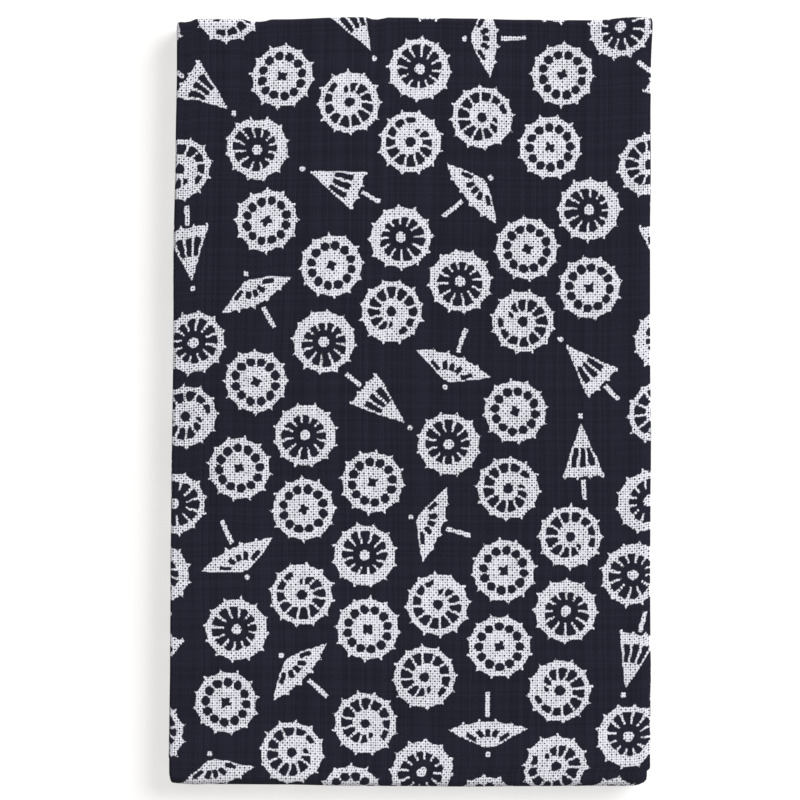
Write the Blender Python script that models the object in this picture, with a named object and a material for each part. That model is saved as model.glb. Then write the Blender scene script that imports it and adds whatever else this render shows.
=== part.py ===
"""A tenugui, the plain-woven cotton hand towel, folded flat into a small packet.

The cloth is folded in three across its width, which gives a band of three plies. The band is
then folded along its length into five legs that lie one over the other. It is built as the
cross-section of that band, carried along the back-and-forth line of the legs and their turns.

Units are metres. +Z is up, +Y runs along the packet, +X across it, and the origin is the middle
of the face that it rests on. The near end is at -Y and the far end is at +Y.
"""

import math
from collections import namedtuple

import bmesh
import bpy
import numpy as np

MM = 0.001

# The packet seen from above, on average
PACKET_WIDTH = 111.2 * MM
PACKET_LENGTH = 178.4 * MM

# The band of three plies, and the air between one leg and the next
BAND_THICKNESS = 1.45 * MM
LEG_GAP = 0.35 * MM
LEVEL_PITCH = BAND_THICKNESS + LEG_GAP

# The lowest ply ends in the cloth's own woven edge, which stops short of the right-hand fold
PLY_THICKNESS = 0.38 * MM
PLY_GAP = 0.09 * MM
SELVEDGE_STEP = 2.2 * MM

# The cut end that is tucked in stops this far short of the wide fold that goes around it
TUCK_SHORT = 6.0 * MM

# How round the packet's four corners are, seen from above
CORNER_RADIUS = 1.6 * MM

# The legs in the order of the cloth, from the cut end that lies lowest. Each one has its level
# from the floor up, how far it is moved and drawn in across the packet, and how far it stops
# short of the near and far end folds.
Leg = namedtuple("Leg", "level shift_x narrower near far")
LEGS = (
    Leg(level=0, shift_x=-0.2 * MM, narrower=0.4 * MM, near=0.5 * MM, far=1.6 * MM),
    Leg(level=1, shift_x=0.3 * MM, narrower=0.2 * MM, near=0.5 * MM, far=0.3 * MM),
    Leg(level=2, shift_x=-0.3 * MM, narrower=0.5 * MM, near=0.0 * MM, far=0.3 * MM),
    Leg(level=4, shift_x=0.0 * MM, narrower=0.0 * MM, near=0.0 * MM, far=0.0 * MM),
    Leg(level=3, shift_x=-0.4 * MM, narrower=0.6 * MM, near=TUCK_SHORT, far=0.0 * MM),
)

# The long sides lean a little, and the packet is wider at its near end
Side = namedtuple("Side", "y left right")
SIDES = (
    Side(y=-89.0 * MM, left=-56.2 * MM, right=54.8 * MM),
    Side(y=-70.0 * MM, left=-56.4 * MM, right=55.2 * MM),
    Side(y=-30.0 * MM, left=-56.3 * MM, right=55.5 * MM),
    Side(y=20.0 * MM, left=-55.6 * MM, right=55.6 * MM),
    Side(y=60.0 * MM, left=-55.2 * MM, right=55.8 * MM),
    Side(y=89.0 * MM, left=-54.8 * MM, right=56.2 * MM),
)

# The end folds, which aren't quite straight
End = namedtuple("End", "x near far")
ENDS = (
    End(x=-55.0 * MM, near=-88.9 * MM, far=88.6 * MM),
    End(x=-45.0 * MM, near=-88.9 * MM, far=89.4 * MM),
    End(x=-35.0 * MM, near=-89.0 * MM, far=88.9 * MM),
    End(x=-18.0 * MM, near=-89.1 * MM, far=89.6 * MM),
    End(x=10.0 * MM, near=-89.4 * MM, far=89.5 * MM),
    End(x=30.0 * MM, near=-89.5 * MM, far=89.1 * MM),
    End(x=55.0 * MM, near=-89.5 * MM, far=89.6 * MM),
)

# Where the plies have sprung up or lie flatter, as shares of the packet's height
WAIST_DIP = 0.02
WAIST_REACH = 25 * MM
WAVE_SWELL = 0.015

# How finely the shape is divided
COLUMNS = 11
ROUND_STEPS = 5
LEG_STEPS = 12
TURN_STEPS = 8

NAVY = (0.0185, 0.0185, 0.0295, 1.0)
CLOTH_ROUGHNESS = 0.9

# A stop of the cross-section on its way along the folded cloth. Along runs from 0 at the near
# end to 1 at the far end, and the angle says how far it has gone round a fold to the next leg.
Stop = namedtuple("Stop", "leg after along angle")


def clear_scene():
    """Take away every object that is already there."""
    for old in list(bpy.data.objects):
        bpy.data.objects.remove(old, do_unlink=True)


def between(value, places, amounts):
    """Read a table at a value, with soft bends at its rows."""
    row = int(np.clip(np.searchsorted(places, value) - 1, 0, len(places) - 2))
    share = np.clip((value - places[row]) / (places[row + 1] - places[row]), 0.0, 1.0)
    eased = share * share * (3.0 - 2.0 * share)
    return amounts[row] + eased * (amounts[row + 1] - amounts[row])


def side_x(y, which):
    """Where the left or right side of the top leg lies."""
    return between(y, [side.y for side in SIDES], [getattr(side, which) for side in SIDES])


def end_y(x, which):
    """Where the near or far end fold of the top leg lies."""
    return between(x, [end.x for end in ENDS], [getattr(end, which) for end in ENDS])


def leg_width(leg, y):
    """The left and right side of one leg at a place along the packet."""
    left = side_x(y, "left") + leg.shift_x + leg.narrower / 2
    right = side_x(y, "right") + leg.shift_x - leg.narrower / 2
    return left, right


def corner_cut(x, left, right):
    """How far a round corner draws an end fold back at x."""
    inside = min(x - left, right - x)
    if inside >= CORNER_RADIUS:
        return 0.0
    reach = CORNER_RADIUS - max(inside, 0.0)
    return CORNER_RADIUS - math.sqrt(CORNER_RADIUS ** 2 - reach ** 2)


def level_z(level):
    """Height of the middle of the band at one level."""
    return BAND_THICKNESS / 2 + level * LEVEL_PITCH


def turn_radius(leg_from, leg_to):
    """Radius of the band's middle line where one leg turns into the next."""
    return abs(leg_to.level - leg_from.level) * LEVEL_PITCH / 2


def next_leg(leg, which):
    """The leg that this one turns into at its near or far end, or None at a cut end."""
    order = LEGS.index(leg)
    goes_on = which == ("near" if order % 2 == 0 else "far")
    other = order + 1 if goes_on else order - 1
    return LEGS[other] if 0 <= other < len(LEGS) else None


def leg_reach(leg, x, which):
    """Where the straight part of a leg ends, on its near or far side.

    A cut end is straight. An end fold follows its table, with round corners, and the straight
    part stops where the turn begins.
    """
    inward = 1.0 if which == "near" else -1.0
    other = next_leg(leg, which)
    if other is None:
        return inward * (getattr(leg, which) - PACKET_LENGTH / 2)
    y = end_y(x, which)
    left, right = leg_width(leg, y)
    turn = turn_radius(leg, other) + BAND_THICKNESS / 2
    return y + inward * (getattr(leg, which) + turn + corner_cut(x, left, right))


def path_stops():
    """The stops of the cross-section along the folded line, from the cut end that lies lowest."""
    stops = []
    for order, leg in enumerate(LEGS):
        for step in range(LEG_STEPS + 1):
            share = step / LEG_STEPS
            along = 1.0 - share if order % 2 == 0 else share
            stops.append(Stop(leg, leg, along, 0.0))
        if order + 1 < len(LEGS):
            end = 0.0 if order % 2 == 0 else 1.0
            for step in range(1, TURN_STEPS):
                stops.append(Stop(leg, LEGS[order + 1], end, math.pi * step / TURN_STEPS))
    return stops


def band_section():
    """Outline of the band's cross-section, as (share of the width, offset across, offset up).

    Up is the side of the middle third of the cloth. The left side is one round fold over all
    three plies. The right side is a fold over the upper two, with the lowest ply short of it.
    """
    half = BAND_THICKNESS / 2
    ledge = PLY_THICKNESS + PLY_GAP - half
    upper = (half - ledge) / 2
    outline = []
    for column in range(COLUMNS + 1):
        outline.append((column / COLUMNS, half - column / COLUMNS * (half + upper), half))
    for step in range(1, ROUND_STEPS + 1):
        angle = math.pi * step / ROUND_STEPS
        outline.append((1.0, upper * (math.sin(angle) - 1.0), ledge + upper + upper * math.cos(angle)))
    outline.append((1.0, -SELVEDGE_STEP, ledge))
    outline.append((1.0, -SELVEDGE_STEP, -half))
    for column in range(COLUMNS - 1, 0, -1):
        share = column / COLUMNS
        outline.append((share, half - share * (half + SELVEDGE_STEP), -half))
    outline.append((0.0, half, -half))
    for step in range(1, ROUND_STEPS + 1):
        angle = math.pi * step / (ROUND_STEPS + 1)
        outline.append((0.0, half * (1.0 - math.sin(angle)), -half * math.cos(angle)))
    return outline


def swell(x, y):
    """Share by which the packet stands higher or lower at a place."""
    waist = math.exp(-(y / WAIST_REACH) ** 2)
    wave = math.sin(4.2 * x / PACKET_WIDTH + 0.6) * math.cos(5.2 * y / PACKET_LENGTH)
    return WAVE_SWELL * wave - WAIST_DIP * waist


def across(stop, share, offset):
    """Where a point of the cross-section lies across the packet, between the two legs it joins."""
    y = PACKET_LENGTH * (stop.along - 0.5)
    turned = (1.0 - math.cos(stop.angle)) / 2
    left, right = leg_width(stop.leg, y)
    left_after, right_after = leg_width(stop.after, y)
    left += turned * (left_after - left)
    right += turned * (right_after - right)
    return left + share * (right - left) + offset


def place_on_leg(stop, x, up):
    """A point of the cross-section on the straight part of a leg."""
    near, far = leg_reach(stop.leg, x, "near"), leg_reach(stop.leg, x, "far")
    face = 1.0 if LEGS.index(stop.leg) % 2 == 1 else -1.0
    return near + stop.along * (far - near), level_z(stop.leg.level) + face * up


def place_on_fold(stop, x, up):
    """A point of the cross-section on the round fold from one leg to the next."""
    which = "near" if stop.along == 0.0 else "far"
    outward = -1.0 if which == "near" else 1.0
    rising = 1.0 if stop.after.level > stop.leg.level else -1.0
    face = 1.0 if LEGS.index(stop.leg) % 2 == 1 else -1.0
    turned = (1.0 - math.cos(stop.angle)) / 2
    reach = leg_reach(stop.leg, x, which)
    reach += turned * (leg_reach(stop.after, x, which) - reach)
    middle = (level_z(stop.leg.level) + level_z(stop.after.level)) / 2
    radius = turn_radius(stop.leg, stop.after) - rising * face * up
    return reach + outward * radius * math.sin(stop.angle), middle - rising * radius * math.cos(stop.angle)


def place(stop, share, offset, up):
    """The point in space of one point of the cross-section at one stop."""
    x = across(stop, share, offset)
    y, z = (place_on_leg if stop.leg is stop.after else place_on_fold)(stop, x, up)
    return x, y, z * (1.0 + swell(x, y))


def close_cut_end(bm, ring):
    """Close a cut end with two faces that meet at the corner behind the step, both convex."""
    column = COLUMNS - 1
    corner = COLUMNS + 1 + ROUND_STEPS
    bm.faces.new(ring[column:corner + 1])
    bm.faces.new(ring[corner:] + ring[:column + 1])


def folded_cloth():
    """The whole cloth as one closed solid."""
    section = band_section()
    bm = bmesh.new()
    rings = []
    for stop in path_stops():
        rings.append([bm.verts.new(place(stop, *point)) for point in section])
    for ring, after in zip(rings, rings[1:]):
        for this in range(len(ring)):
            other = (this + 1) % len(ring)
            bm.faces.new((ring[this], ring[other], after[other], after[this]))
    for ring in (rings[0], rings[-1]):
        close_cut_end(bm, ring)
    bmesh.ops.recalc_face_normals(bm, faces=bm.faces)
    mesh = bpy.data.meshes.new("cloth")
    bm.to_mesh(mesh)
    bm.free()
    return mesh


def cotton():
    """Dyed cotton: very dark, matt."""
    material = bpy.data.materials.new("dyed_cotton")
    material.use_nodes = True
    shader = material.node_tree.nodes["Principled BSDF"]
    shader.inputs["Base Color"].default_value = NAVY
    shader.inputs["Roughness"].default_value = CLOTH_ROUGHNESS
    shader.inputs["Metallic"].default_value = 0.0
    return material


def centre_on_floor(mesh):
    """Put the middle of the box around the mesh over the origin, with its underside at zero."""
    count = len(mesh.vertices)
    points = np.empty(count * 3)
    mesh.vertices.foreach_get("co", points)
    points = points.reshape(count, 3)
    low, high = points.min(axis=0), points.max(axis=0)
    points -= ((low[0] + high[0]) / 2, (low[1] + high[1]) / 2, low[2])
    mesh.vertices.foreach_set("co", points.ravel())
    mesh.update()


def main():
    clear_scene()
    mesh = folded_cloth()
    centre_on_floor(mesh)
    mesh.materials.append(cotton())
    mesh.shade_smooth()
    mesh.set_sharp_from_angle(angle=math.radians(40))
    cloth = bpy.data.objects.new("cloth", mesh)
    bpy.context.scene.collection.objects.link(cloth)


main()
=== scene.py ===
"""Looks of a tenugui, the plain-woven cotton hand towel, folded flat into a small packet.

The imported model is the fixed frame, and one piece is made here: the cloth, as one thin sheet on
its solid's folds. It is folded in three across its width, and the band of three plies that this
gives is folded along its length into five legs, one over the other.

Units are metres, and millimetres inside the dye's shader. +Z is up, +Y runs along the packet,
+X across it, and the origin is the middle of the face that it rests on.
"""

import math
from collections import namedtuple

import bpy
import numpy as np
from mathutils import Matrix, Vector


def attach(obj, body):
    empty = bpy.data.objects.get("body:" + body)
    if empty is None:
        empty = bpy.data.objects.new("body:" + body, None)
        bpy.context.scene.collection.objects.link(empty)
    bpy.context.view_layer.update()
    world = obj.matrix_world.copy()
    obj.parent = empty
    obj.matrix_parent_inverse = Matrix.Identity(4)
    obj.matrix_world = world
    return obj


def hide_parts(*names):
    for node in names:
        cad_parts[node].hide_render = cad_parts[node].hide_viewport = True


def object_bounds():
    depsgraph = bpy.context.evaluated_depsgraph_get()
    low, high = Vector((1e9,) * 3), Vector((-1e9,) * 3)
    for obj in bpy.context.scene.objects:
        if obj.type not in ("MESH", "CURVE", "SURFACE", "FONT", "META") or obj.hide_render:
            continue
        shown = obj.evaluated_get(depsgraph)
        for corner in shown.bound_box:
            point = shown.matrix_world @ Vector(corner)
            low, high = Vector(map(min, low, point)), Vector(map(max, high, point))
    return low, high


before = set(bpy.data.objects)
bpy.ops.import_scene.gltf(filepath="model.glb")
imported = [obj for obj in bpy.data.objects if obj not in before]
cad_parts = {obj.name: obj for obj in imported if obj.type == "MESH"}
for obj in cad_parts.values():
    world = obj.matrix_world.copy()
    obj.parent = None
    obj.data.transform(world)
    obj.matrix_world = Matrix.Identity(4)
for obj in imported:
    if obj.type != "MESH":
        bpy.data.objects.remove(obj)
cad_low, cad_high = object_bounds()

MM = 0.001
TO_MM = 1000.0

# The photograph's frame: 800 pixels across, and the size of one of them on the top of the packet
PHOTO_PIXELS = 800
PIXEL = 0.2335 * MM

# The packet seen from above, on average, and where the middle of the photograph lies on it
PACKET_LENGTH = 178.4 * MM
PACKET_WIDTH = 111.2 * MM
PHOTO_MIDDLE = (-2.45 * MM, 0.47 * MM)

# The band of three plies and the air between one leg and the next, as in the solid
BAND_THICKNESS = 1.45 * MM
LEVEL_PITCH = 1.80 * MM

# One ply of the cloth, and the distance from the middle of one ply to the next in the band
CLOTH_THICKNESS = 0.36 * MM
PLY_PITCH = 0.545 * MM

# How far the woven edges stop short of the folds, the lower one on the right, the other inside
LOWER_EDGE_STEP = 2.2 * MM
INNER_EDGE_STEP = 1.3 * MM

TUCK_SHORT = 6.0 * MM

# The legs in the order of the cloth, from the cut end that lies lowest. Each one has its level
# from the floor up, how far it is moved and drawn in across the packet, and how far it stops
# short of the near and far end folds.
Leg = namedtuple("Leg", "level shift_x narrower near far")
LEGS = (
    Leg(level=0, shift_x=-0.2 * MM, narrower=0.4 * MM, near=0.5 * MM, far=1.6 * MM),
    Leg(level=1, shift_x=0.3 * MM, narrower=0.2 * MM, near=0.5 * MM, far=0.3 * MM),
    Leg(level=2, shift_x=-0.3 * MM, narrower=0.5 * MM, near=0.0 * MM, far=0.3 * MM),
    Leg(level=4, shift_x=0.0 * MM, narrower=0.0 * MM, near=0.0 * MM, far=0.0 * MM),
    Leg(level=3, shift_x=-0.4 * MM, narrower=0.6 * MM, near=TUCK_SHORT, far=0.0 * MM),
)
TOP_LEG = 3

# The long sides lean and wave a little, and the right one steps in just before its near corner
Side = namedtuple("Side", "y left right")
SIDES = (
    Side(y=-89.4 * MM, left=-56.6 * MM, right=54.5 * MM),
    Side(y=-86.3 * MM, left=-56.7 * MM, right=54.9 * MM),
    Side(y=-85.5 * MM, left=-56.7 * MM, right=55.7 * MM),
    Side(y=-72.0 * MM, left=-56.6 * MM, right=55.6 * MM),
    Side(y=-62.0 * MM, left=-56.5 * MM, right=55.8 * MM),
    Side(y=-40.0 * MM, left=-56.4 * MM, right=55.7 * MM),
    Side(y=-22.0 * MM, left=-56.1 * MM, right=55.8 * MM),
    Side(y=26.0 * MM, left=-55.7 * MM, right=55.7 * MM),
    Side(y=59.0 * MM, left=-55.2 * MM, right=55.7 * MM),
    Side(y=78.0 * MM, left=-54.9 * MM, right=55.9 * MM),
    Side(y=89.5 * MM, left=-54.9 * MM, right=56.3 * MM),
)

# The end folds, which aren't quite straight
End = namedtuple("End", "x near far")
ENDS = (
    End(x=-54.6 * MM, near=-89.2 * MM, far=88.9 * MM),
    End(x=-52.5 * MM, near=-89.4 * MM, far=88.8 * MM),
    End(x=-50.2 * MM, near=-89.5 * MM, far=89.6 * MM),
    End(x=-48.0 * MM, near=-89.4 * MM, far=89.6 * MM),
    End(x=-30.0 * MM, near=-89.5 * MM, far=89.5 * MM),
    End(x=-15.0 * MM, near=-89.8 * MM, far=90.0 * MM),
    End(x=2.0 * MM, near=-89.9 * MM, far=89.9 * MM),
    End(x=12.0 * MM, near=-90.0 * MM, far=89.7 * MM),
    End(x=26.0 * MM, near=-89.9 * MM, far=89.4 * MM),
    End(x=43.0 * MM, near=-89.8 * MM, far=89.3 * MM),
    End(x=51.6 * MM, near=-89.8 * MM, far=90.0 * MM),
    End(x=54.8 * MM, near=-89.2 * MM, far=90.0 * MM),
)

# Two small dips in the far fold of the top leg, where a fold below shows
Dip = namedtuple("Dip", "x half_width depth")
DIPS = (
    Dip(x=-36.2 * MM, half_width=2.6 * MM, depth=0.6 * MM),
    Dip(x=-8.3 * MM, half_width=1.7 * MM, depth=0.5 * MM),
)

# The radius of the left and right corner at each end
CORNERS = {"near": (1.2 * MM, 0.5 * MM), "far": (0.4 * MM, 0.4 * MM)}

# How far the sides of the hidden legs stray, in slow waves that are out of step from leg to leg
LEFT_WANDER = 0.10 * MM
RIGHT_WANDER = 0.22 * MM
WANDER_LENGTH = 63 * MM
WANDER_STEP = 0.37

# Where the packet stands higher or lower, as shares of its height
WAIST_DIP = 0.02
WAIST_REACH = 25 * MM
WAVE_SWELL = 0.015

# How finely the cloth is divided: rows along a leg and round a turn, columns across each third
# and round its two folds, and steps round a woven edge
TOP_ROWS = 120
HIDDEN_ROWS = 36
TURN_ROWS = 14
FACE_COLUMNS = 88
HIDDEN_COLUMNS = 16
LEFT_FOLD_COLUMNS = 12
RIGHT_FOLD_COLUMNS = 8
RIM_STEPS = 4

# How far past a side fold the print comes to the height of its own ply
PRINT_EASING = 12 * MM

# How much closer the rows lie at the ends of a leg than in its middle
END_CROWDING = 0.7

# The power of a turn's section: 2 would be a circle, and more is squarer
TURN_POWER = 2.7


def eased(share):
    """Smoothstep: 0 up to a share of 0, 1 from a share of 1, and 3 s^2 - 2 s^3 between them."""
    share = np.clip(share, 0.0, 1.0)
    return share * share * (3.0 - 2.0 * share)


def between(value, places, amounts):
    """Read a table at each value, with soft bends (smoothstep) from one row to the next."""
    places, amounts = np.array(places), np.array(amounts)
    row = np.clip(np.searchsorted(places, value) - 1, 0, len(places) - 2)
    share = (value - places[row]) / (places[row + 1] - places[row])
    return amounts[row] + eased(share) * (amounts[row + 1] - amounts[row])


def side_x(y, which):
    """Where the left or right side of the top leg lies."""
    return between(y, [side.y for side in SIDES], [getattr(side, which) for side in SIDES])


def end_y(x, which):
    """Where the near or far end fold of the top leg lies."""
    return between(x, [end.x for end in ENDS], [getattr(end, which) for end in ENDS])


def leg_width(leg, y):
    """The left and right side of one leg at places along the packet.

    The sides of a hidden leg stray from the top leg's by a sine along the packet.
    """
    hidden = 0.0 if leg is LEGS[TOP_LEG] else 1.0
    wave = hidden * np.sin(2 * math.pi * (y / WANDER_LENGTH + leg.level * WANDER_STEP))
    left = side_x(y, "left") + leg.shift_x + leg.narrower / 2 + LEFT_WANDER * wave
    right = side_x(y, "right") + leg.shift_x - leg.narrower / 2 + RIGHT_WANDER * wave
    return left, right


def corner_cut(x, left, right, which):
    """How far a round corner draws an end fold back at x: the arc of the corner's radius."""
    radius = np.where(x - left < right - x, *CORNERS[which])
    reach = radius - np.clip(np.minimum(x - left, right - x), 0.0, radius)
    return radius - np.sqrt(radius ** 2 - reach ** 2)


def dip_depth(x):
    """How far the far fold of the top leg is drawn in at x: a flat-bottomed bell at each dip."""
    return sum(dip.depth * np.exp(-((x - dip.x) / dip.half_width) ** 4) for dip in DIPS)


def level_z(leg):
    """Height of the middle of a leg's band."""
    return BAND_THICKNESS / 2 + leg.level * LEVEL_PITCH


def turn_radius(leg, other):
    """Radius of the band's middle line where one leg turns into the next."""
    return abs(leg.level - other.level) * LEVEL_PITCH / 2


def next_leg(order, which):
    """The number of the leg that this one turns into at its near or far end, or None."""
    goes_on = which == ("near" if order % 2 == 0 else "far")
    other = order + 1 if goes_on else order - 1
    return other if 0 <= other < len(LEGS) else None


def leg_reach(order, x, which):
    """Where the straight part of a leg ends: at its cut end, or where the turn begins."""
    leg = LEGS[order]
    inward = 1.0 if which == "near" else -1.0
    other = next_leg(order, which)
    if other is None:
        return inward * (getattr(leg, which) - PACKET_LENGTH / 2) + 0.0 * x
    y = end_y(x, which)
    left, right = leg_width(leg, y)
    turn = turn_radius(leg, LEGS[other]) + BAND_THICKNESS / 2
    drawn_in = getattr(leg, which) + corner_cut(x, left, right, which)
    if which == "far" and TOP_LEG in (order, other):
        drawn_in = drawn_in + dip_depth(x)
    return y + inward * (turn + drawn_in)


def swell(x, y):
    """Share by which the packet stands higher or lower: one slow wave and a dip at the waist."""
    waist = np.exp(-(y / WAIST_REACH) ** 2)
    wave = np.sin(4.2 * x / PACKET_WIDTH + 0.6) * np.cos(5.2 * y / PACKET_LENGTH)
    return WAVE_SWELL * wave - WAIST_DIP * waist


# Points of the cloth across the band. A place is a share of the packet's width plus an offset,
# up is its height over the band's middle, run is the length of cloth so far, and print_up is the
# height that its print keeps to.
Profile = namedtuple("Profile", "share offset up tangent_x tangent_up run print_up")


def ply_profile():
    """The middle line of the cloth across the band, from its lower woven edge to the other one.

    It goes left along the lowest ply, round the left fold (a half circle of the ply pitch), right
    along the top ply, down round the right fold (half that radius) and back left between them.
    The print keeps to the top ply's height round both folds, so that it isn't sheared there, and
    comes to the other plies' own heights by a smoothstep within the first stretch of each.
    """
    left_middle = BAND_THICKNESS / 2
    right_radius = PLY_PITCH / 2
    right_middle = right_radius + CLOTH_THICKNESS / 2
    shares, offsets, ups = [], [], []

    def straight(columns, from_share, from_offset, to_share, to_offset, up):
        step = np.linspace(0.0, 1.0, columns + 1)
        shares.append(from_share + step * (to_share - from_share))
        offsets.append(from_offset + step * (to_offset - from_offset))
        ups.append(np.full(columns + 1, up))

    def bend(columns, share, middle, radius, side, middle_up, rising):
        angle = np.linspace(-math.pi / 2, math.pi / 2, columns + 1)[1:-1] * rising
        shares.append(np.full(columns - 1, share))
        offsets.append(middle + side * radius * np.cos(angle))
        ups.append(middle_up + radius * np.sin(angle))

    straight(HIDDEN_COLUMNS, 1.0, -LOWER_EDGE_STEP, 0.0, left_middle, -PLY_PITCH)
    bend(LEFT_FOLD_COLUMNS, 0.0, left_middle, PLY_PITCH, -1.0, 0.0, 1.0)
    straight(FACE_COLUMNS, 0.0, left_middle, 1.0, -right_middle, PLY_PITCH)
    bend(RIGHT_FOLD_COLUMNS, 1.0, -right_middle, right_radius, 1.0, right_radius, -1.0)
    straight(HIDDEN_COLUMNS, 1.0, -right_middle, 0.0, left_middle + INNER_EDGE_STEP, 0.0)
    share, offset, up = (np.concatenate(parts) for parts in (shares, offsets, ups))
    across = share * PACKET_WIDTH + offset
    step_x, step_up = np.gradient(across), np.gradient(up)
    length = np.hypot(step_x, step_up)
    run = np.concatenate([[0.0], np.cumsum(np.hypot(np.diff(across), np.diff(up)))])
    lowest, inner = HIDDEN_COLUMNS, len(run) - 1 - HIDDEN_COLUMNS
    print_up = PLY_PITCH - 2 * PLY_PITCH * eased((run[lowest] - run) / PRINT_EASING)
    print_up = print_up - PLY_PITCH * eased((run - run[inner]) / PRINT_EASING)
    return Profile(share, offset, up, step_x / length, step_up / length, run, print_up)


def closed_profile(line):
    """The outline of the ply: its outer face, a round woven edge, its inner face and the other edge.

    Each point lies half the cloth's thickness from the middle line, along the normal on the
    faces, and round from the normal through the tangent at the woven edges.
    """
    last = len(line.run) - 1
    turn = np.linspace(0.0, math.pi, RIM_STEPS + 1)[1:-1]
    column = np.concatenate([
        np.arange(last + 1), np.full(len(turn), last), np.arange(last, -1, -1), np.zeros(len(turn), int),
    ]).astype(int)
    normal = np.concatenate([np.ones(last + 1), np.cos(turn), -np.ones(last + 1), -np.cos(turn)])
    tangent = np.concatenate([np.zeros(last + 1), np.sin(turn), np.zeros(last + 1), -np.sin(turn)])
    half = CLOTH_THICKNESS / 2
    tangent_x, tangent_up = line.tangent_x[column], line.tangent_up[column]
    return Profile(
        share=line.share[column],
        offset=line.offset[column] + half * (tangent * tangent_x - normal * tangent_up),
        up=line.up[column] + half * (tangent * tangent_up + normal * tangent_x),
        tangent_x=tangent_x,
        tangent_up=tangent_up,
        run=line.run[column] + half * tangent,
        print_up=line.print_up[column],
    )


# Rows of one stretch of the folded band: on a leg where after is the same leg, and otherwise on
# the turn from it to the leg after it. Outward and onward are a place on the turn's section of
# radius one, from -1 to 1 onward, and turned is its run so far.
Stretch = namedtuple("Stretch", "order after along outward onward turned")


def turn_section():
    """The section of a turn of radius one, pressed flatter than a circle, and its run.

    It is half a superellipse: the two sides, each to the turn's power, add up to one.
    """
    angle = np.linspace(0.0, math.pi, TURN_ROWS + 1)[:, None]
    outward = np.clip(np.sin(angle), 0.0, 1.0) ** (2.0 / TURN_POWER)
    onward = -np.sign(np.cos(angle)) * abs(np.cos(angle)) ** (2.0 / TURN_POWER)
    step = np.hypot(np.diff(outward, axis=0), np.diff(onward, axis=0))
    return outward, onward, np.concatenate([[[0.0]], np.cumsum(step, axis=0)])


def leg_rows(order):
    """Rows along a leg from 0 to 1, crowded towards both ends by a sine."""
    step = np.linspace(0.0, 1.0, (TOP_ROWS if order == TOP_LEG else HIDDEN_ROWS) + 1)[:, None]
    return step - END_CROWDING * np.sin(2 * math.pi * step) / (2 * math.pi)


def stretches():
    """The legs and turns in the order of the cloth, each with its rows."""
    found = []
    section = [value[1:-1] for value in turn_section()]
    for order in range(len(LEGS)):
        along = leg_rows(order)
        if order % 2 == 0:
            along = along[::-1]
        flat = 0.0 * along
        found.append(Stretch(order, order, along, flat, flat - 1.0, flat))
        if order + 1 < len(LEGS):
            end = 0.0 if order % 2 == 0 else 1.0
            found.append(Stretch(order, order + 1, end + 0.0 * section[0], *section))
    return found


def across_packet(stretch, profile):
    """Where the profile's points lie across the packet in each row, between the legs it joins."""
    usual_x = PACKET_WIDTH * (profile.share - 0.5) + profile.offset
    near, far = (leg_reach(stretch.order, usual_x, which) for which in ("near", "far"))
    y = near + stretch.along * (far - near)
    over = (1.0 + stretch.onward) / 2
    left, right = leg_width(LEGS[stretch.order], y)
    left_after, right_after = leg_width(LEGS[stretch.after], y)
    left = left + over * (left_after - left)
    right = right + over * (right_after - right)
    return left + profile.share * (right - left) + profile.offset


def face_up(order):
    """1 where the middle third of the cloth lies on the upper side of the leg's band, else -1."""
    return 1.0 if order % 2 == 1 else -1.0


def rise(stretch):
    """1 where a turn goes up to the next leg, else -1."""
    return 1.0 if LEGS[stretch.after].level > LEGS[stretch.order].level else -1.0


def lay_on_leg(stretch, x, up):
    """Place along the packet and height on a leg: straight from its near to its far reach."""
    near, far = leg_reach(stretch.order, x, "near"), leg_reach(stretch.order, x, "far")
    height = level_z(LEGS[stretch.order]) + face_up(stretch.order) * up
    return near + stretch.along * (far - near), height


def lay_on_turn(stretch, x, up):
    """The same on a turn: its section between two legs, its radius smaller on its inner side."""
    leg, after = LEGS[stretch.order], LEGS[stretch.after]
    which, way = ("near", -1.0) if stretch.order % 2 == 0 else ("far", 1.0)
    reach = leg_reach(stretch.order, x, which)
    reach = reach + (1.0 + stretch.onward) / 2 * (leg_reach(stretch.after, x, which) - reach)
    middle = (level_z(leg) + level_z(after)) / 2
    radius = turn_radius(leg, after) - rise(stretch) * face_up(stretch.order) * up
    y = reach + way * radius * stretch.outward
    return y, middle + rise(stretch) * radius * stretch.onward


def fold(profile):
    """Carry a profile along the legs and turns: the points, and how far it has turned by each row.

    That is the run of the turns of radius one, signed, so that the length of cloth at a height in
    the band is the length of the band's middle plus that height times it.
    """
    whole_turn = turn_section()[2][-1, 0]
    points, turns = [], []
    turned = 0.0
    for stretch in stretches():
        x = across_packet(stretch, profile)
        if stretch.order == stretch.after:
            y, z = lay_on_leg(stretch, x, profile.up)
            turns.append(turned + stretch.turned)
        else:
            y, z = lay_on_turn(stretch, x, profile.up)
            way = -rise(stretch) * face_up(stretch.order)
            turns.append(turned + way * stretch.turned)
            turned += way * whole_turn
        points.append(np.stack([x, y, z * (1.0 + swell(x, y))], axis=2))
    return np.concatenate(points), np.concatenate(turns)


def top_leg_turn():
    """How far the band has turned by the top leg."""
    middle = Profile(*(np.array([value]) for value in (0.5, 0.0, 0.0, 1.0, 0.0, 0.0, 0.0)))
    turns = fold(middle)[1]
    before = sum(len(stretch.along) for stretch in stretches() if stretch.order < TOP_LEG)
    return turns[before, 0]


def length_of_band():
    """Length of cloth from the first cut end up to each row, along the middle of the band."""
    middle = Profile(*(np.array([value]) for value in (0.5, 0.0, 0.0, 1.0, 0.0, 0.0, 0.0)))
    line = fold(middle)[0][:, 0, 1:]
    return np.concatenate([[0.0], np.cumsum(np.linalg.norm(np.diff(line, axis=0), axis=1))])


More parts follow.
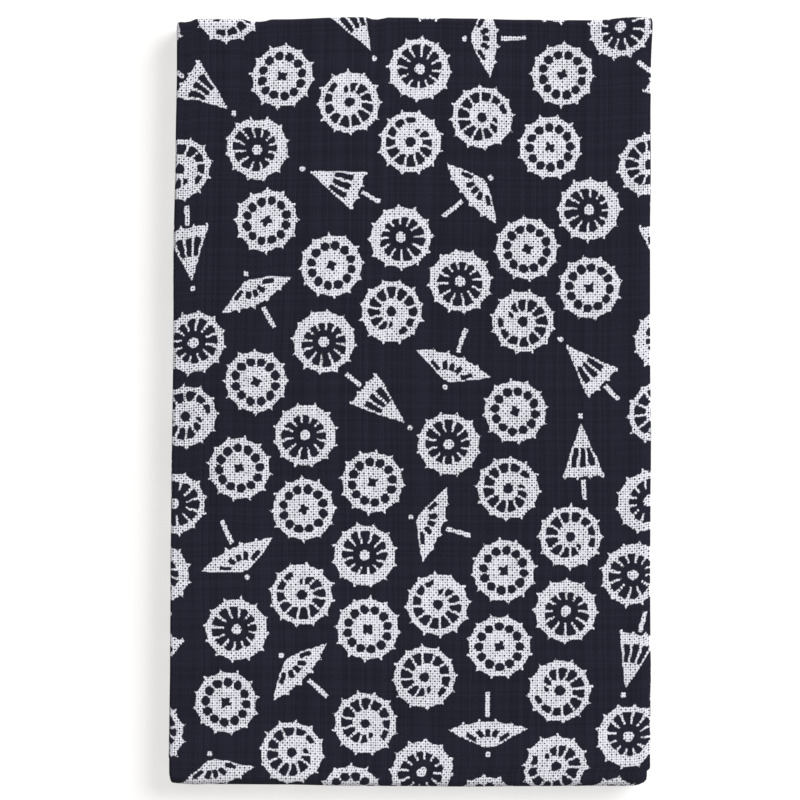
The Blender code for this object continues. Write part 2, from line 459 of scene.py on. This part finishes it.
def cut_end_faces(ring, columns):
    """Faces that close one cut end: a strip between the two faces of the cloth and its rims."""
    outer = np.arange(columns - 1)
    inner = 2 * columns + RIM_STEPS - 2 - outer
    strip = np.stack([ring[outer], ring[inner], ring[inner - 1], ring[outer + 1]], axis=1)
    far_rim = ring[columns - 1:columns + RIM_STEPS][::-1]
    near_rim = np.append(ring[2 * columns + RIM_STEPS - 2:], ring[0])[::-1]
    return strip.tolist() + [far_rim.tolist(), near_rim.tolist()]


# The map for baking the cloth's colours onto. The chart of the top leg holds its upper
# face, side folds and turns at one scale, and the other charts hold the rest of the cloth and its
# two cut ends.
Chart = namedtuple("Chart", "left bottom width height")
TOP_CHART = Chart(left=0.002, bottom=0.002, width=0.600, height=0.996)
REST_CHART = Chart(left=0.608, bottom=0.036, width=0.390, height=0.962)
END_CHARTS = (
    Chart(left=0.608, bottom=0.002, width=0.390, height=0.012),
    Chart(left=0.608, bottom=0.019, width=0.390, height=0.012),
)

# How much room a stretch of cloth gets there for its length: across the band, on the outer face
# from the lowest ply to the inner one, at a woven edge and on the inner face, and then along it
OUTER_ROOM = (0.3, 2.0, 1.0, 2.0, 0.1)
EDGE_ROOM = 1.0
INNER_ROOM = 0.1
TURN_ROOM = 6.0
HIDDEN_TOP_ROOM = 0.15
OUTSIDE_OF_TURN = 1.6


def shares_of(steps):
    """Where each step of a row of steps begins and the last one ends, from 0 to 1."""
    return np.concatenate([[0.0], np.cumsum(steps)]) / steps.sum()


def on_chart(chart, across, along):
    """Places on the map from shares of a chart's width and height."""
    return np.stack([chart.left + across * chart.width, chart.bottom + along * chart.height], axis=-1)


def export_places(points, profile, length, columns):
    """The place on the bake map of each corner of each face, in the order of the faces.

    A strip of the grid is as wide there as its own length times the room that it gets.
    """
    outer = (HIDDEN_COLUMNS, LEFT_FOLD_COLUMNS, FACE_COLUMNS, RIGHT_FOLD_COLUMNS, HIDDEN_COLUMNS)
    first, last = outer[0], sum(outer[:4])
    counts = [TOP_ROWS if order == TOP_LEG else HIDDEN_ROWS for order in range(len(LEGS))]
    start = sum(counts[:TOP_LEG]) + (TOP_LEG - 1) * TURN_ROWS
    end = start + counts[TOP_LEG] + 2 * TURN_ROWS
    kinds = np.repeat([0, 1] * TOP_LEG + [2, 1, 0], np.insert(counts, range(1, len(LEGS)), TURN_ROWS))

    x, up = profile.share * PACKET_WIDTH + profile.offset, profile.up
    wide = np.hypot(np.roll(x, -1) - x, np.roll(up, -1) - up)
    edge = [EDGE_ROOM] * RIM_STEPS
    room = np.concatenate([np.repeat(OUTER_ROOM, outer), edge, np.full(columns - 1, INNER_ROOM), edge])
    across = shares_of(wide * room)
    along = shares_of(np.diff(length) * np.choose(kinds, (1.0, TURN_ROOM, HIDDEN_TOP_ROOM)))
    across_top, along_top = np.zeros(len(across)), np.zeros(len(along))
    across_top[first:last + 1] = shares_of(wide[first:last])
    turned = np.where(kinds[start:end] == 1, OUTSIDE_OF_TURN, 1.0)
    along_top[start:end + 1] = shares_of(np.diff(length)[start:end] * turned)

    row, column = np.divmod(np.arange((points.shape[0] - 1) * points.shape[1]), points.shape[1])
    on_top = (row >= start) & (row < end) & (column >= first) & (column < last)
    row, column = row[:, None] + (0, 0, 1, 1), column[:, None] + (0, 1, 1, 0)
    top = on_chart(TOP_CHART, across_top[column], along_top[row])
    rest = on_chart(REST_CHART, across[column], along[row])
    places = [np.where(on_top[:, None, None], top, rest).reshape(-1, 2)]

    ring = np.arange(points.shape[1])
    for chart, cut_end, way in zip(END_CHARTS, (points[0], points[-1]), (1, -1)):
        share = (cut_end - cut_end.min(axis=0)) / (np.ptp(cut_end, axis=0) + MM * MM)
        corners = np.concatenate([face[::way] for face in cut_end_faces(ring, columns)])
        places.append(on_chart(chart, share[corners, 0], share[corners, 2]))
    return np.concatenate(places)


def cloth_mesh(points, flat, export, columns):
    """A closed mesh from a grid of rows and ring columns, with two UV maps.

    One has each point's flat place on the cloth, for the weave and the print, and the other is
    named as the map for baking colours onto.
    """
    rows, ring_columns = points.shape[:2]
    index = np.arange(rows * ring_columns).reshape(rows, ring_columns)
    beside = np.roll(index, -1, axis=1)
    faces = np.stack([index[:-1], beside[:-1], beside[1:], index[1:]], axis=2).reshape(-1, 4).tolist()
    faces += cut_end_faces(index[0], columns)
    faces += [face[::-1] for face in cut_end_faces(index[-1], columns)]
    mesh = bpy.data.meshes.new("folded_cloth")
    mesh.from_pydata(points.reshape(-1, 3).tolist(), [], faces)
    corners = np.empty(len(mesh.loops), np.int32)
    mesh.loops.foreach_get("vertex_index", corners)
    layer = mesh.uv_layers.new(name="flat")
    layer.uv.foreach_set("vector", flat.reshape(-1, 2)[corners].astype(np.float32).ravel())
    layer = mesh.uv_layers.new(name="OFBake")
    layer.uv.foreach_set("vector", export.astype(np.float32).ravel())
    mesh.shade_smooth()
    return mesh


def centred(points):
    """Put the middle of the folded cloth over the origin, with its underside at zero."""
    low, high = points.min(axis=(0, 1)), points.max(axis=(0, 1))
    return points - ((low[0] + high[0]) / 2, (low[1] + high[1]) / 2, low[2])


def folded_cloth():
    """The whole cloth as one thin closed sheet. Returns it and its flat size.

    The flat place of a point is its run across the cloth, and along it the length of the band
    plus the print's height in the band times how far it has turned since the top leg, so that
    the print isn't stretched at the end folds.
    """
    line = ply_profile()
    profile = closed_profile(line)
    points, turns = fold(profile)
    length = length_of_band()[:, None]
    along = length + profile.print_up * (turns - top_leg_turn())
    flat = np.stack([profile.run + 0.0 * along, along], axis=2)
    points = centred(points)
    export = export_places(points, profile, length[:, 0], len(line.run))
    cloth = bpy.data.objects.new("cloth_towel", cloth_mesh(points, flat, export, len(line.run)))
    bpy.context.scene.collection.objects.link(cloth)
    return cloth, (line.run[-1], length[-1, 0])


class Wire:
    """One value in a material. Python's operators on it add Math nodes."""

    def __init__(self, tree, socket):
        self.tree = tree
        self.socket = socket

    def node(self, node_type, settings=(), sockets=(), out=0):
        """Add a node: its settings first, then the values or links of its sockets."""
        made = self.tree.nodes.new(node_type)
        for name, value in dict(settings).items():
            setattr(made, name, value)
        for name, value in dict(sockets).items():
            if isinstance(value, Wire):
                self.tree.links.new(value.socket, made.inputs[name])
            else:
                made.inputs[name].default_value = value
        return Wire(self.tree, made.outputs[out])

    def math(self, operation, *values):
        return self.node("ShaderNodeMath", {"operation": operation}, enumerate(values))

    def vector(self, operation, *values, out="Vector"):
        return self.node("ShaderNodeVectorMath", {"operation": operation}, enumerate(values), out)

    def __add__(self, other):
        return self.math("ADD", self, other)

    def __radd__(self, other):
        return self.math("ADD", other, self)

    def __sub__(self, other):
        return self.math("SUBTRACT", self, other)

    def __rsub__(self, other):
        return self.math("SUBTRACT", other, self)

    def __mul__(self, other):
        return self.math("MULTIPLY", self, other)

    def __rmul__(self, other):
        return self.math("MULTIPLY", other, self)

    def __truediv__(self, other):
        return self.math("DIVIDE", self, other)

    def __rtruediv__(self, other):
        return self.math("DIVIDE", other, self)

    def __pow__(self, other):
        return self.math("POWER", self, other)

    def __neg__(self):
        return self.math("MULTIPLY", self, -1.0)

    def __abs__(self):
        return self.math("ABSOLUTE", self)

    def __lt__(self, other):
        return self.math("LESS_THAN", self, other)

    def __gt__(self, other):
        return self.math("GREATER_THAN", self, other)


def parts_of(vector):
    """The three numbers of a vector."""
    split = vector.node("ShaderNodeSeparateXYZ", (), {0: vector})
    return [Wire(split.tree, socket) for socket in split.socket.node.outputs]


def larger(one, other):
    return one.math("MAXIMUM", one, other)


def smaller(one, other):
    return one.math("MINIMUM", one, other)


def round_corner(one, other, width):
    """The smaller of two values, with the corner between them rounded over a width."""
    return one.math("SMOOTH_MIN", one, other, width)


def wrapped(value, half):
    """The value brought into the span from -half to half by whole spans."""
    return value.math("WRAP", value, half, -half)


def length_of(x, y):
    """Distance from the origin in the plane."""
    return (x * x + y * y) ** 0.5


def chosen(mask, when_one, when_zero):
    """One number where the mask is 1 and another where it is 0."""
    if isinstance(when_one, Wire) or isinstance(when_zero, Wire):
        return when_zero + mask * (when_one - when_zero)
    return mask.math("MULTIPLY_ADD", mask, when_one - when_zero, when_zero)


def soft_step(value, low, high):
    """0 below low, 1 above high, and a smooth step between them."""
    settings = {"interpolation_type": "SMOOTHSTEP"}
    return value.node("ShaderNodeMapRange", settings, {"Value": value, "From Min": low, "From Max": high})


def mixed(factor, below, above, kind="RGBA"):
    """Mix two colours or vectors. The Mix node has one pair of sockets for each kind."""
    first, out = {"VECTOR": (4, 1), "RGBA": (6, 2)}[kind]
    sockets = {0: factor, first: below, first + 1: above}
    return factor.node("ShaderNodeMix", {"data_type": kind}, sockets, out)


# The print: paper umbrellas tossed at every angle, as wide as they are on the cloth. Sizes from
# here on are in millimetres.
REPEAT_ACROSS = 110.0
REPEAT_ALONG = 200.0
UMBRELLA_COUNT = 73
SETTLING_STEPS = 400
SETTLING_EASE = 0.25
ROOM_AT_FIRST = 1.20
ROOM_AT_LAST = 1.02

# The five kinds of umbrella: open ones from above, with round gaps, with a dark middle or with
# a spiral of gaps, and open and half-closed ones from the side. Share is how many of them there
# are, and reach is how much room one needs.
Kind = namedtuple("Kind", "code share reach")
KINDS = {
    "round_gaps": Kind(code=0, share=0.29, reach=8.4),
    "dark_middle": Kind(code=1, share=0.25, reach=8.4),
    "spiral": Kind(code=2, share=0.24, reach=8.4),
    "open_side": Kind(code=3, share=0.12, reach=9.6),
    "half_closed": Kind(code=4, share=0.10, reach=10.1),
}
FROM_ABOVE_REACH = 8.4
SIDE_KINDS = (3, 4)

PLACE_STEP = (0.7548776662, 0.5698402910)
ANGLE_STEP = 0.381966
NEIGHBOUR_DISTANCE = 17.0
DEBT_WEIGHT = 2.4

# How far the hand-cut shapes stray, and how fast
CUT_STRAY = 0.55
CUT_SCALE = 0.35

# An umbrella from above has twelve ribs, each with a small point at the rim
RIB_COUNT = 12
PANEL = 2 * math.pi / RIB_COUNT
RIM_RADIUS = 6.97
POINT_RADIUS = 7.9
POINT_SLOPE = 0.6
GAP_PLACE = 4.72
GAP_RADIUS = 1.08
ROUNDING = 0.7

# The plain weave: how far apart the yarns lie across and along the cloth, how far and how fast
# they stray, and how much the edges of the print follow them
WARP_PITCH = 0.539
WEFT_PITCH = 0.584
YARN_STRAY = 2.2
YARN_STRAY_SCALE = 0.012
YARN_SNAP = 0.4
EDGE_SOFTNESS = 0.09

GROUND = (0.0162, 0.0162, 0.0275, 1.0)
WHITE = (0.85, 0.85, 0.925, 1.0)


def apart_in_repeat(places):
    """The way from each place to each other one, the shortest one across the repeat's edges."""
    repeat = np.array([REPEAT_ACROSS, REPEAT_ALONG])
    apart = places[:, None] - places
    return apart - repeat * np.round(apart / repeat)


def dealt_kinds(places):
    """A kind for each umbrella in turn: the one with the smallest debt and crowd together.

    The debt is how many there are of a kind so far, over its share. The crowd adds up the
    umbrellas of that kind dealt so far, each one as the cube of the usual distance between
    neighbours over its own distance. The two kinds seen from the side crowd each other too.
    """
    share = np.array([kind.share for kind in KINDS.values()])
    distance = np.linalg.norm(apart_in_repeat(places), axis=2)
    dealt = np.zeros((0, len(KINDS)))
    for order in range(len(places)):
        closeness = (NEIGHBOUR_DISTANCE / distance[order, :order]) ** 3
        crowd = closeness @ dealt
        crowd[list(SIDE_KINDS)] = crowd[list(SIDE_KINDS)].sum()
        debt = dealt.sum(axis=0) / len(places) / share
        chosen_kind = np.argmin(crowd + DEBT_WEIGHT * debt)
        dealt = np.vstack([dealt, np.arange(len(KINDS)) == chosen_kind])
    return [list(KINDS.values())[number] for number in dealt.argmax(axis=1)]


def tossed_umbrellas():
    """Place, angle and kind of each umbrella in one repeat of the print.

    They start evenly scattered, on steps of irrational length. Then each pair that is closer
    than the two reaches together pushes itself apart, across the edges of the repeat too. The
    reaches start too large, which evens out the whole repeat, and shrink to what is needed.
    """
    order = np.arange(UMBRELLA_COUNT)
    places = np.outer(order + 0.5, PLACE_STEP) % 1.0 * (REPEAT_ACROSS, REPEAT_ALONG)
    kinds = dealt_kinds(places)
    reach = np.array([kind.reach for kind in kinds])
    for room in np.linspace(ROOM_AT_FIRST, ROOM_AT_LAST, SETTLING_STEPS):
        apart = apart_in_repeat(places)
        distance = np.linalg.norm(apart, axis=2) + np.eye(UMBRELLA_COUNT) * REPEAT_ALONG
        push = np.clip(room * (reach[:, None] + reach) - distance, 0.0, None) / distance
        places = places + SETTLING_EASE * (apart * push[..., None]).sum(axis=1)
    return zip(places % (REPEAT_ACROSS, REPEAT_ALONG), order * ANGLE_STEP % 1.0, kinds)


def nearest_umbrella(place):
    """The place from the nearest umbrella's middle, turned to its angle, and its kind's code.

    A kind that needs more room draws its border further out by the difference.
    """
    nearest, found = None, None
    for (x, y), turn, kind in tossed_umbrellas():
        half_x, half_y = REPEAT_ACROSS / 2, REPEAT_ALONG / 2
        image = place.vector("WRAP", place, (x + half_x, y + half_y, 1.0), (x - half_x, y - half_y, -1.0))
        distance = place.vector("DISTANCE", image, (x, y, 0.0), out="Value")
        if kind.reach > FROM_ABOVE_REACH:
            distance = distance - (kind.reach - FROM_ABOVE_REACH)
        middle = (x, y, kind.code + 0.05 + 0.9 * turn)
        if nearest is None:
            nearest, found = distance, place.node("ShaderNodeCombineXYZ", (), enumerate(middle))
            continue
        found = mixed(distance < nearest, found, middle, "VECTOR")
        nearest = smaller(distance, nearest)
    middle_x, middle_y, code = parts_of(found)
    here_x, here_y, _ = parts_of(place)
    x = wrapped(here_x - middle_x, REPEAT_ACROSS / 2)
    y = wrapped(here_y - middle_y, REPEAT_ALONG / 2)
    kind = code.math("FLOOR", code)
    angle = (code - kind) * (2 * math.pi / 0.9)
    cosine, sine = angle.math("COSINE", angle), angle.math("SINE", angle)
    return x * cosine + y * sine, y * cosine - x * sine, kind


def is_kind(kind, name):
    return kind.math("COMPARE", kind, float(KINDS[name].code), 0.5)


def umbrella_from_above(x, y, kind):
    """How far a place lies inside the white of an open umbrella seen from above.

    Its outline is a twelve-sided figure with a short point at each rib. Between the ribs lie the
    dark gaps: circles, or panels with rounded corners from an inner to an outer radius. These
    are even round a dark middle but deeper on one side, or wind outwards once round.
    """
    round_gaps, dark_middle = is_kind(kind, "round_gaps"), is_kind(kind, "dark_middle")
    radius = length_of(x, y)
    turn = radius.math("ARCTAN2", y, x)
    from_panel = abs(wrapped(turn, PANEL / 2))
    to_rib = radius * (PANEL / 2 - from_panel).math("SINE", PANEL / 2 - from_panel)
    outward = radius * from_panel.math("COSINE", from_panel)
    sideways = radius * from_panel.math("SINE", from_panel)
    outline = larger(RIM_RADIUS - outward, POINT_SLOPE * (POINT_RADIUS - radius) - to_rib)

    lap = turn.math("FRACT", (PANEL / 2 - turn) / (2 * math.pi))
    spiral_inner = 2.40 + 2.35 * lap ** 2.2
    spiral_outer = 5.90 - 2.9 * lap.math("EXPONENT", lap * (-1 / 0.15))
    lopsided_outer = 5.20 + 0.65 * turn.math("COSINE", turn)
    inner = chosen(dark_middle, 0.0, spiral_inner)
    outer = chosen(dark_middle, lopsided_outer, spiral_outer)
    half_rib = chosen(dark_middle, 0.062 * radius, 0.25)
    panel_gap = round_corner(radius - inner, outer - radius, ROUNDING)
    panel_gap = round_corner(panel_gap, to_rib - half_rib, ROUNDING)
    round_gap = GAP_RADIUS - length_of(outward - GAP_PLACE, sideways)
    gap = chosen(round_gaps, round_gap, panel_gap)

    lobed = 1.12 + 0.24 * turn.math("COSINE", turn * 4.0)
    middle = chosen(dark_middle, 2.9, chosen(round_gaps, lobed, 1.2))
    white = smaller(outline, -larger(gap, middle - radius))
    return larger(white, chosen(dark_middle, 1.2, -1.0) - radius)


def umbrella_from_side(x, y, kind):
    """How far a place lies inside the white of an umbrella seen from the side, its point at +y.

    The cover runs from a bowed lower edge with a point at each rib up to its roof, which falls
    with the distance from the middle, to a power that makes the open one a dome, and has a blunt
    top. Dark gaps lie at even angles round a place near the top, the outer ones of the open one
    further off and longer. A knob above and a stick below stand free of the cover.
    """
    shut = is_kind(kind, "half_closed")

    def size(half_closed, wide_open):
        return chosen(shut, half_closed, wide_open)

    y = y + size(4.5, -0.8)
    across = abs(x)
    outwards = across / size(4.75, 9.2)
    roof = (size(12.4, 4.5) * (1.0 - outwards ** size(1.0, 1.17)) - y) / size(3.0, 1.1)
    roof = smaller(roof, size(12.1, 4.25) - y)

    bow = size(0.35, 1.7) * (1.0 - outwards * outwards)
    panel = size(2.93, 3.68)
    from_rib = abs(wrapped(x - panel / 2, panel / 2))
    point = larger(size(0.75, 0.85 - 0.85 * outwards ** 4.0) - 1.3 * from_rib, 0.0)
    cover = smaller(roof, y + bow + point - 0.05)

    drop = size(13.4, 4.0) - y
    from_top = length_of(x, drop)
    angle = x.math("ARCTAN2", x, drop)
    angle_step = size(0.2, 0.532)
    number = angle.math("ROUND", angle / angle_step)
    number = smaller(larger(number, size(-1.0, -2.0)), size(1.0, 2.0))
    beside = abs(angle - number * angle_step) * from_top
    outer = number * number
    half_gap = size(0.071 * from_top, 0.66 - 0.03 * outer)
    half_length = size(2.2, 0.90 + 0.12 * outer)
    gap = half_length - abs(from_top - size(9.2, 3.05 + 0.34 * outer))
    gap = round_corner(half_gap - beside, gap, 0.6)

    knob = 0.62 - length_of(x, y - size(14.0, 5.8))
    stick = smaller(0.5 - across, size(2.3, 2.9) - abs(y - size(-3.3, -5.7)))
    return larger(smaller(cover, -gap), larger(knob, stick))


def umbrella_print(place):
    """How white the print is at a place on the cloth: 0 on the ground, 1 inside an umbrella.

    The place strays by soft noise first, as the shapes were cut by hand.
    """
    settings = {"noise_dimensions": "2D"}
    stray = place.node("ShaderNodeTexNoise", settings, {"Vector": place, "Scale": CUT_SCALE, "Detail": 1.0}, "Color")
    stray = place.vector("SUBTRACT", stray, (0.5, 0.5, 0.5))
    stray = place.vector("MULTIPLY", stray, (CUT_STRAY, CUT_STRAY, 0.0))
    x, y, kind = nearest_umbrella(place.vector("ADD", place, stray))
    from_side = kind > 2.5
    above = umbrella_from_above(x, y, kind)
    inside = above + from_side * (umbrella_from_side(x, y, kind) - above)
    return soft_step(inside, -EDGE_SOFTNESS, EDGE_SOFTNESS)


def yarn_tone(number):
    """A number from -0.5 to 0.5 for each yarn: white noise of its number."""
    return number.node("ShaderNodeTexWhiteNoise", {"noise_dimensions": "1D"}, {"W": number}) - 0.5


def crossing_tone(warp, weft):
    """A number from 0 to 1 for each gap between four yarns: white noise of their numbers."""
    numbers = {0: warp.math("ROUND", warp), 1: weft.math("ROUND", weft)}
    numbers = warp.node("ShaderNodeCombineXYZ", (), numbers)
    return warp.node("ShaderNodeTexWhiteNoise", {"noise_dimensions": "2D"}, {"Vector": numbers})


def dyed_cotton():
    """Cotton in plain weave, navy with the white print, from the cloth's own flat places.

    A yarn's border is where the cosine of its run in half turns is 1 or -1. The gap between four
    yarns is as dark as the two cosines' product: partly the navy ply beneath showing through, and
    partly painted shade, darker at every other gap and on one side of each crossing as one-sided
    light would fall, and uneven at random. The yarns arch as sines from one crossing to the next.
    Both follow yarns that stray by slow noise.
    """
    material = bpy.data.materials.new("dyed_cotton_weave")
    material.use_nodes = True
    tree = material.node_tree
    shader = tree.nodes["Principled BSDF"]
    start = Wire(tree, None)
    flat = start.node("ShaderNodeUVMap", {"uv_map": "flat"})
    place = flat.vector("MULTIPLY", flat, (TO_MM, TO_MM, 0.0))
    across, along, _ = parts_of(place)

    settings = {"noise_dimensions": "2D"}
    stray = place.node("ShaderNodeTexNoise", settings, {"Vector": place, "Scale": YARN_STRAY_SCALE}, "Color")
    stray_across, stray_along, loose = parts_of(stray)
    warp = (across + YARN_STRAY * (stray_across - 0.5)) / WARP_PITCH
    weft = (along + YARN_STRAY * (stray_along - 0.5)) / WEFT_PITCH
    warp_number, weft_number = warp.math("FLOOR", warp), weft.math("FLOOR", weft)

    warp_wave, weft_wave = (value.math("SINE", value * math.pi) for value in (warp, weft))
    over = weft_wave * warp_wave.math("SIGN", warp_wave)
    under = warp_wave * weft_wave.math("SIGN", weft_wave)
    warp_height = abs(warp_wave) * (0.5 + 0.5 * over)
    weft_height = abs(weft_wave) * (0.5 - 0.5 * under)
    height = larger(warp_height, weft_height)

    warp_border, weft_border = (value.math("COSINE", value * math.pi) for value in (warp, weft))
    both = warp_border * weft_border
    # Each gap is darkened partly by the navy ply beneath and partly by painted shade: the product term makes every
    # other gap darker and the border terms shade one side more, as one-sided light would.
    gap_dark_and_painted_shade = abs(both) * (1.0 + 0.44 * both + 0.22 * warp_border + 0.11 * weft_border)
    gap_dark_and_painted_shade = gap_dark_and_painted_shade * (0.6 + 0.8 * loose) * (0.6 + 0.8 * crossing_tone(warp, weft))

    edge_x = across + YARN_SNAP * WARP_PITCH * (warp_number + 0.5 - warp)
    edge_y = along + YARN_SNAP * WEFT_PITCH * (weft_number + 0.5 - weft)
    white = umbrella_print(place.node("ShaderNodeCombineXYZ", (), {0: edge_x, 1: edge_y}))

    tone = 1.0 + (yarn_tone(warp_number) * 0.3 + yarn_tone(weft_number) * 0.2) * (1.0 - 0.72 * white)
    # The gaps' painted shade and show-through, times each yarn's own random tone; the gaps darken the white print
    # much more than the navy ground.
    shade = (1.0 - gap_dark_and_painted_shade * (0.22 + 0.64 * white)) * tone
    shade = place.node("ShaderNodeCombineXYZ", (), {0: shade, 1: shade, 2: shade})
    colour = mixed(white, GROUND, WHITE)
    settings = {"data_type": "RGBA", "blend_type": "MULTIPLY"}
    colour = place.node("ShaderNodeMix", settings, {0: 1.0, 6: colour, 7: shade}, out=2)
    tree.links.new(colour.socket, shader.inputs["Base Color"])
    bump = place.node("ShaderNodeBump", (), {"Strength": 0.6, "Distance": 0.08 * MM, "Height": height})
    tree.links.new(bump.socket, shader.inputs["Normal"])
    shader.inputs["Roughness"].default_value = 0.92
    shader.inputs["Specular IOR Level"].default_value = 0.05
    shader.inputs["Sheen Weight"].default_value = 0.04
    shader.inputs["Sheen Roughness"].default_value = 0.5
    return material


def pale_floor():
    """A plain pale floor, which isn't part of the object."""
    bpy.ops.mesh.primitive_plane_add(size=6.0, location=(0.0, 0.0, -0.02 * MM))
    floor = bpy.context.object
    floor.name = "floor"
    material = bpy.data.materials.new("pale_floor")
    material.use_nodes = True
    shader = material.node_tree.nodes["Principled BSDF"]
    shader.inputs["Base Color"].default_value = (0.40, 0.398, 0.392, 1.0)
    shader.inputs["Roughness"].default_value = 0.9
    shader.inputs["Specular IOR Level"].default_value = 0.1
    shader.inputs["Emission Color"].default_value = (1.0, 0.99, 0.97, 1.0)
    shader.inputs["Emission Strength"].default_value = FLOOR_GLOW
    floor.data.materials.append(material)


CAMERA_HEIGHT = 1.2
SENSOR_WIDTH = 36.0
KEY_PLACE = (2.43, 1.72, 2.67)
KEY_SIZE = 2.4
KEY_POWER = 218.0
SKY_STRENGTH = 0.3
FLOOR_GLOW = 0.66


def camera_above(top):
    """A long lens straight above the packet, with the photograph's frame on its top."""
    data = bpy.data.cameras.new("camera")
    data.sensor_width = SENSOR_WIDTH
    data.lens = SENSOR_WIDTH * (CAMERA_HEIGHT - top) / (PHOTO_PIXELS * PIXEL)
    data.clip_start = 0.05
    camera = bpy.data.objects.new("camera", data)
    camera.location = (*PHOTO_MIDDLE, CAMERA_HEIGHT)
    bpy.context.scene.collection.objects.link(camera)
    bpy.context.scene.camera = camera


def soft_light(name, place, size, power):
    """A square area light that looks at the middle of the packet."""
    data = bpy.data.lights.new(name, "AREA")
    data.size = size
    data.energy = power
    light = bpy.data.objects.new(name, data)
    light.location = place
    light.rotation_euler = (-light.location).to_track_quat("-Z", "Y").to_euler()
    bpy.context.scene.collection.objects.link(light)


def studio():
    """Soft light from the far right, and an even white surrounding."""
    soft_light("key_light", KEY_PLACE, KEY_SIZE, KEY_POWER)
    world = bpy.data.worlds.new("studio")
    world.use_nodes = True
    world.node_tree.nodes["Background"].inputs["Color"].default_value = (1.0, 1.0, 1.0, 1.0)
    world.node_tree.nodes["Background"].inputs["Strength"].default_value = SKY_STRENGTH
    bpy.context.scene.world = world
    bpy.context.scene.view_settings.view_transform = "Standard"


cloth, flat_size = folded_cloth()
cloth.data.materials.append(dyed_cotton())
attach(cloth, "root")
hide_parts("cloth")
pale_floor()
studio()
camera_above(cad_high.z)
